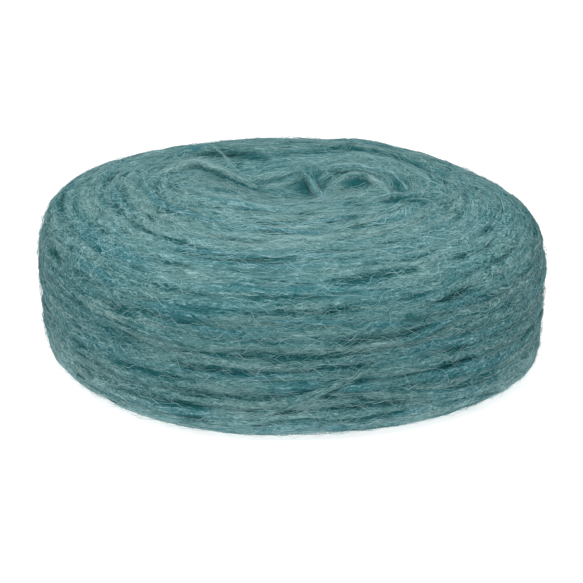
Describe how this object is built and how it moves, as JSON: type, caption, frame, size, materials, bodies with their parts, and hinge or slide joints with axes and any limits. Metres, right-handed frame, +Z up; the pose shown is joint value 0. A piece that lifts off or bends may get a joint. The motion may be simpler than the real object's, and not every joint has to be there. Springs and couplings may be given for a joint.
{
  "type": "plate of unspun wool yarn",
  "caption": "Low round plate of soft unspun wool yarn, one thick strand wound round a drum-shaped wall and spiralled over a domed top to a sunken heart.",
  "frame": {"origin": "middle of the outline, on the surface that the plate stands on", "axes": "+Z up through the domed top along the axis of the winding, -Y towards the viewer, +X to the viewer's right"},
  "size_m": [0.2054, 0.1984, 0.0738],
  "materials": {
    "teal_wool": "matt heathered teal wool, unspun and hairy"
  },
  "bodies": {
    "root": {"wool_plate": "teal_wool"}
  },
  "joints": []
}
